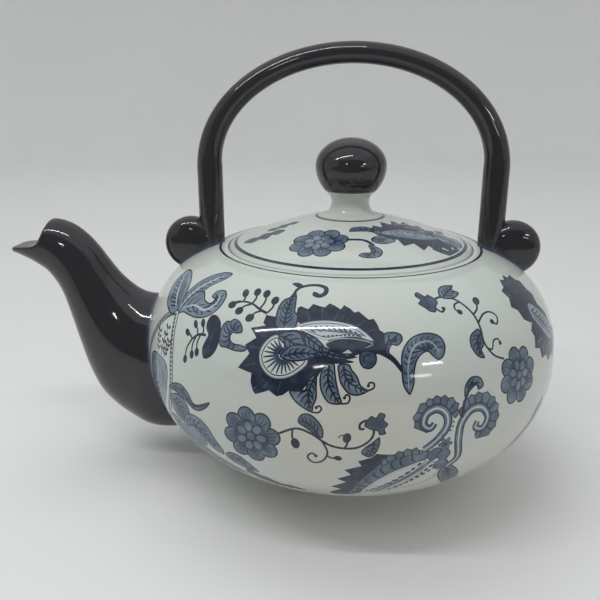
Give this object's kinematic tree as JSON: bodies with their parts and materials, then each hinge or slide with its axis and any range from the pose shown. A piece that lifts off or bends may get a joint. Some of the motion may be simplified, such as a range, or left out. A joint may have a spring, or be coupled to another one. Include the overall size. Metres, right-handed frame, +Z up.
{
  "type": "teapot",
  "caption": "Squat round porcelain teapot with an overhead arch handle, an S-curved spout with a duck-bill lip and a lift-off domed lid with a ball knob.",
  "frame": {"origin": "centre of the bounding box's footprint, on the surface the foot ring stands on; the pot's turning axis is at x = 0.02815 m", "axes": "+Z up, spout towards -X, handle arch in the XZ plane, +Y towards the back of the pot as seen in the picture"},
  "size_m": [0.2162, 0.16, 0.1687],
  "materials": {
    "white_glaze": "glossy",
    "dark_glaze": "glossy",
    "bare_porcelain": "matte"
  },
  "bodies": {
    "pot": {"pot_body": "white_glaze", "foot_ring": "bare_porcelain", "spout": "dark_glaze", "handle_arch": "dark_glaze", "handle_scroll_spout_side": "dark_glaze", "handle_scroll_rear": "dark_glaze"},
    "lid": {"lid_dome": "white_glaze", "lid_flange": "bare_porcelain", "lid_knob_neck": "white_glaze", "lid_knob_ball": "dark_glaze"}
  },
  "joints": [
    {"name": "lid_lift", "type": "slide", "parent": "pot", "child": "lid", "axis": [0, 0, 1], "range_m": [0, 0.0255]}
  ]
}
